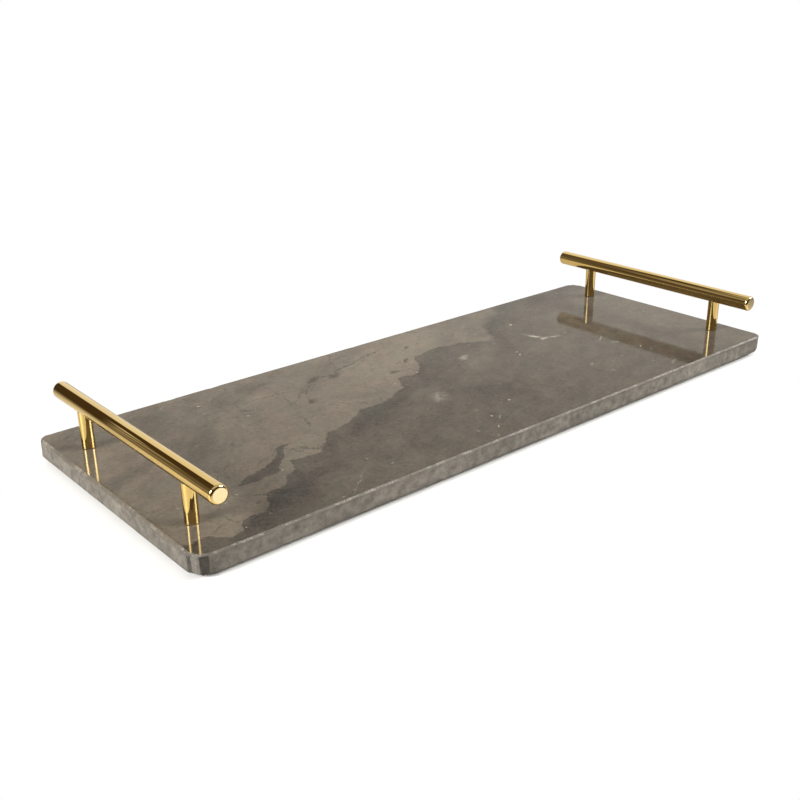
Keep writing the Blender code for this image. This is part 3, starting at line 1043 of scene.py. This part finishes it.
buttonScrew = {
    "Head Radius": 0.0038,
    "Head Height": 0.0022,
    "Head Rim": 0.0004,
    "Face Radius": 0.0024,
    "Shank Radius": 0.002,
    "Socket Width": 0.0025,
    "Socket Depth": 0.0012,
    "Segments": 64,
}


def makeScrews(steel):
    length = screwHigh.z - screwLow.z
    sizes = {**buttonScrew, "Length": length, "Foot": screwLow.z, **postSpans, "Material": steel}
    tree, given = newTree("buttonScrews", sizes)
    head, face, shank = given["Head Radius"], given["Face Radius"], given["Shank Radius"]
    rise = minus(given["Head Height"], given["Head Rim"])
    profile = [(0, 0), (face, 0), *roundedEdge(face, head, rise, 5)]
    tip = 0.0005  # how far the shank's end is bevelled
    neck = minus(given["Length"], tip)
    profile += [
        (head, given["Head Height"]), (shank, given["Head Height"]), (shank, neck),
        (minus(shank, tip), given["Length"]), (0.0, given["Length"]),
    ]
    screw = turnedForm(tree, profile, given["Segments"])
    key = form(tree, "MeshCylinder", {
        "Vertices": 6,
        "Radius": sums("DIVIDE", given["Socket Width"], 2 * math.cos(math.pi / 6)),
        "Depth": times(given["Socket Depth"], 2.0),
    })
    both = {"Mesh 1": screw, "Mesh 2": key}
    screw = form(tree, "MeshBoolean", both, operation="DIFFERENCE", solver="EXACT")
    finishFour(tree, screw, given)
    return grown("buttonScrews", tree, sizes)


flatWasher = {
    "Outer Radius": 0.0045,
    "Hole Radius": 0.0023,
    "Soft Edge": 0.00012,
    "Segments": 64,
}


def makeWashers(steel):
    thickness = washerHigh.z - washerLow.z
    sizes = {**flatWasher, "Thickness": thickness, "Foot": washerLow.z, **postSpans, "Material": steel}
    tree, given = newTree("flatWashers", sizes)
    outer, hole, thick = given["Outer Radius"], given["Hole Radius"], given["Thickness"]
    corners = [(hole, 0), (outer, 0), (outer, thick), (hole, thick)]
    ring = turnedForm(tree, corners, given["Segments"], given["Soft Edge"], closed=True)
    finishFour(tree, ring, given)
    return grown("flatWashers", tree, sizes)


rubberFoot = {
    "Radius": 0.006,
    "Sole Radius": 0.0045,
    "Wall": 0.0009,
    "Groove Radius": 0.0026,
    "Groove Depth": 0.0003,
    "Segments": 72,
}


def makeFeet(rubber):
    spanX = (rightBackFootLow.x + rightBackFootHigh.x - footLow.x - footHigh.x) / 2
    spanY = (rightBackFootLow.y + rightBackFootHigh.y - footLow.y - footHigh.y) / 2
    height = footHigh.z - footLow.z
    sizes = {**rubberFoot, "Height": height, "Span X": spanX, "Span Y": spanY, "Material": rubber}
    tree, given = newTree("rubberFeet", sizes)
    outer, sole, groove = given["Radius"], given["Sole Radius"], given["Groove Radius"]
    bulge = minus(given["Height"], given["Wall"])
    depth = given["Groove Depth"]
    lip = plus(groove, depth)
    inside = minus(groove, depth)
    core = minus(inside, depth)
    profile = [
        (0, 0), (core, 0), (inside, depth), (groove, depth), (lip, 0), (sole, 0),
        *roundedEdge(sole, outer, bulge, 6), (outer, given["Height"]), (0, given["Height"]),
    ]
    foot = turnedForm(tree, profile, given["Segments"])
    finishFour(tree, foot, given)
    return grown("rubberFeet", tree, sizes)


# The studio: a pale, satin floor that fades into the backdrop, and a sky of soft panels
studio = {
    "floorHalf": (1.2, 0.9),
    # How far past the slab's left, right, front and back the floor starts to fade and has faded,
    # as the tray sees it and as the camera does
    "floorFade": {"left": (0.22, 0.92), "right": (-0.12, 0.16), "front": (0.02, 0.1), "back": (-0.06, 0.3)},
    "cameraFade": dict.fromkeys(("left", "right", "front", "back"), (0.0, 0.036)),
    # How far in from each of the slab's sides the floor is open, to let the underside be seen
    "floorOpen": dict.fromkeys(("left", "right", "front", "back"), (-0.038, -0.02)),
    "floorColour": (0.59, 0.56, 0.475, 1),
    "floorForCamera": (0.9, 0.912, 0.935, 1),
    "backdrop": (1.0, 1.0, 1.0, 1),
    "room": (0.08, 0.052, 0.027),
    "lamp": (1.0, 0.985, 0.94),
}

# Each panel's compass turn from the tray's back towards its right end and its height above the
# horizon, in degrees, how soft its upright and its level edges are, and how bright it is. Some are
# cut off by how far a direction leans to the tray's back.
panels = {
    "ceilingRight": ((30, 181), (50, 95), (6, 8), 0.65),
    "ceilingLeft": ((-181, -60), (50, 95), (6, 8), 0.65),
    "ceilingBack": ((-60, 30), (62, 95), (6, 6), 0.65),
    "backPanel": ((6.7, 66), (-3, 51.5), (5, 9), 1.02),
    "rightPanel": ((66, 112), (-3, 45), (6, 6), 0.55),
    "frontRight": ((112, 150), (21, 50), (6, 6), 0.6),
    "leftBox": ((-96, -71), (21.5, 40), (14, 4), 43.0),
    "rightBox": ((110, 139), (21.5, 40), (14, 4), 36.0),
    "frontBox": ((-92, -70), (17.5, 21), (8, 1.4), 17.0),
    "lowRoom": ((-110, 95), (-95, -1), (2, 2), 0.2),
    "lowRight": ((95, 130), (-95, -12), (6, 3), 0.38),
    "lowFront": ((130, 181), (-95, -12), (6, 3), 1),
    "nearFront": ((130, 162), (-95, -20), (6, 3), 0.6),
    "lowFrontLeft": ((-181, -128), (-95, -12), (8, 3), 0.8),
    "leftWall": ((-98, -42), (0, 19), (6, 8), 0.09),
    "leftStripe": ((-98, -70), (8, 18), (6, 3), 1.7),
    "highGlow": ((-60, -22), (34, 57), (8, 14), 0.26, (0.64, 0.5)),
    "highRoom": ((-60, -10), (32, 57), (8, 10), 0.08, (0.76, 0.66)),
    "hallGlow": ((-46, -14), (-1, 29), (3, 4), 0.1, (0.866, 0.845)),
    "hallDoor": ((-30.4, -27.8), (13, 27), (1.5, 3), 0.38, (0.866, 0.845)),
    "hallShelf": ((-46, -16), (4.6, 8), (3, 1.6), 0.34, (0.866, 0.845)),
    "hallLamp": ((-22, -18), (24, 29), (1.5, 2), 0.8, (0.862, 0.84)),
}


def lightStudio():
    scene = bpy.context.scene
    scene.view_settings.view_transform = "Standard"
    world = bpy.data.worlds.new("studio")
    scene.world = world
    world.use_nodes = True
    tree = world.node_tree
    tree.nodes.clear()
    toward = partsOf(addNode(tree, "TexCoord").outputs["Generated"])
    turn = sums("DEGREES", sums("ARCTAN2", toward["X"], toward["Y"]))
    height = sums("DEGREES", sums("ARCSINE", toward["Z"]))
    light = 0.0
    for turns, heights, soft, bright, *cut in panels.values():
        shown = times(between(turn, *turns, soft[0]), between(height, *heights, soft[1]))
        for lean in cut:
            shown = times(shown, ramp(toward["Y"], *lean))
        light = timesPlus(shown, bright, light)
    glow = wire(tree, "VectorMath", {0: studio["lamp"], "Scale": light}, operation="SCALE")
    glow = wire(tree, "VectorMath", {0: glow, 1: studio["room"]}, operation="ADD")
    glow = wire(tree, "Background", {"Color": glow})
    plain = wire(tree, "Background", {"Color": studio["backdrop"]})
    seen = addNode(tree, "LightPath").outputs["Is Camera Ray"]
    both = wire(tree, "MixShader", {0: seen, 1: glow, 2: plain})
    addNode(tree, "OutputWorld", {"Surface": both})


def floorShare(point, fade):
    # 1 under the tray, falling to 0 on each of its four sides
    parts = partsOf(point)
    share = 1.0
    for side, axis, way in (("left", "X", -1), ("right", "X", 1), ("front", "Y", -1), ("back", "Y", 1)):
        half = (slabLength if axis == "X" else slabWidth) / 2
        near, far = (way * (half + reach) for reach in fade[side])
        share = times(share, ramp(parts[axis], far, near, soft=False))
    return share


def makeFloor():
    halfX, halfY = studio["floorHalf"]
    mesh = bpy.data.meshes.new("studioFloor")
    corners = [(x * halfX, y * halfY, 0) for x, y in ((-1, -1), (1, -1), (1, 1), (-1, 1))]
    mesh.from_pydata(corners, [], [(0, 1, 2, 3)])
    material, tree, point = newMaterial("palePaper")
    byCamera = addNode(tree, "LightPath").outputs["Is Camera Ray"]
    wide, close = (floorShare(point, studio[fade]) for fade in ("floorFade", "cameraFade"))
    shown = ramp(byCamera, 0, 1, wide, close)
    fromBelow = addNode(tree, "NewGeometry").outputs["Backfacing"]
    shown = times(shown, ramp(fromBelow, 1, 0))
    shown = times(shown, ramp(floorShare(point, studio["floorOpen"]), 1, 0))
    mesh.materials.append(surface(material, {
        "Base Color": mixed(byCamera, studio["floorColour"], studio["floorForCamera"]),
        "Roughness": ramp(cloud(point, 30, 3), 0.3, 0.7, 0.45, 0.6),
        "IOR": finishes["index"],
        "Alpha": shown,
    }))
    linked("studioFloor", mesh)


setUpCamera()
print("camera ready")

pattern, body = stoneGroup("stonePattern", True), stoneGroup("stoneBody", False)
marbleSlab = makeSlab([polishedTop(pattern), groundArris(body), honedSide(body), sawnUnderside(body)])
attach(marbleSlab, "root")
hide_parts("marble_slab")
print("slab ready:", len(marbleSlab.data.polygons), "faces")

brass = polishedBrass()
steel = zincSteel()
rubber = footRubber()
fittings = (
    (makeBars(brass), [f"{end}_handle_bar" for end in ends], "polished_brass"),
    (makePosts(brass), nodesOf("post"), "polished_brass"),
    (makeScrews(steel), nodesOf("screw"), "zinc_steel"),
    (makeWashers(steel), nodesOf("washer"), "zinc_steel"),
    (makeFeet(rubber), nodesOf("foot"), "foot_rubber"),
)
for piece, nodes, slotName in fittings:
    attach(piece, "root")
    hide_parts(*nodes)
    print(piece.name, "ready:", len(piece.data.polygons), "faces")

for name in nodesOf("stud"):
    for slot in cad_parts[name].material_slots:
        slot.material = steel
print("studs finished")

makeFloor()
lightStudio()
print("studio ready")
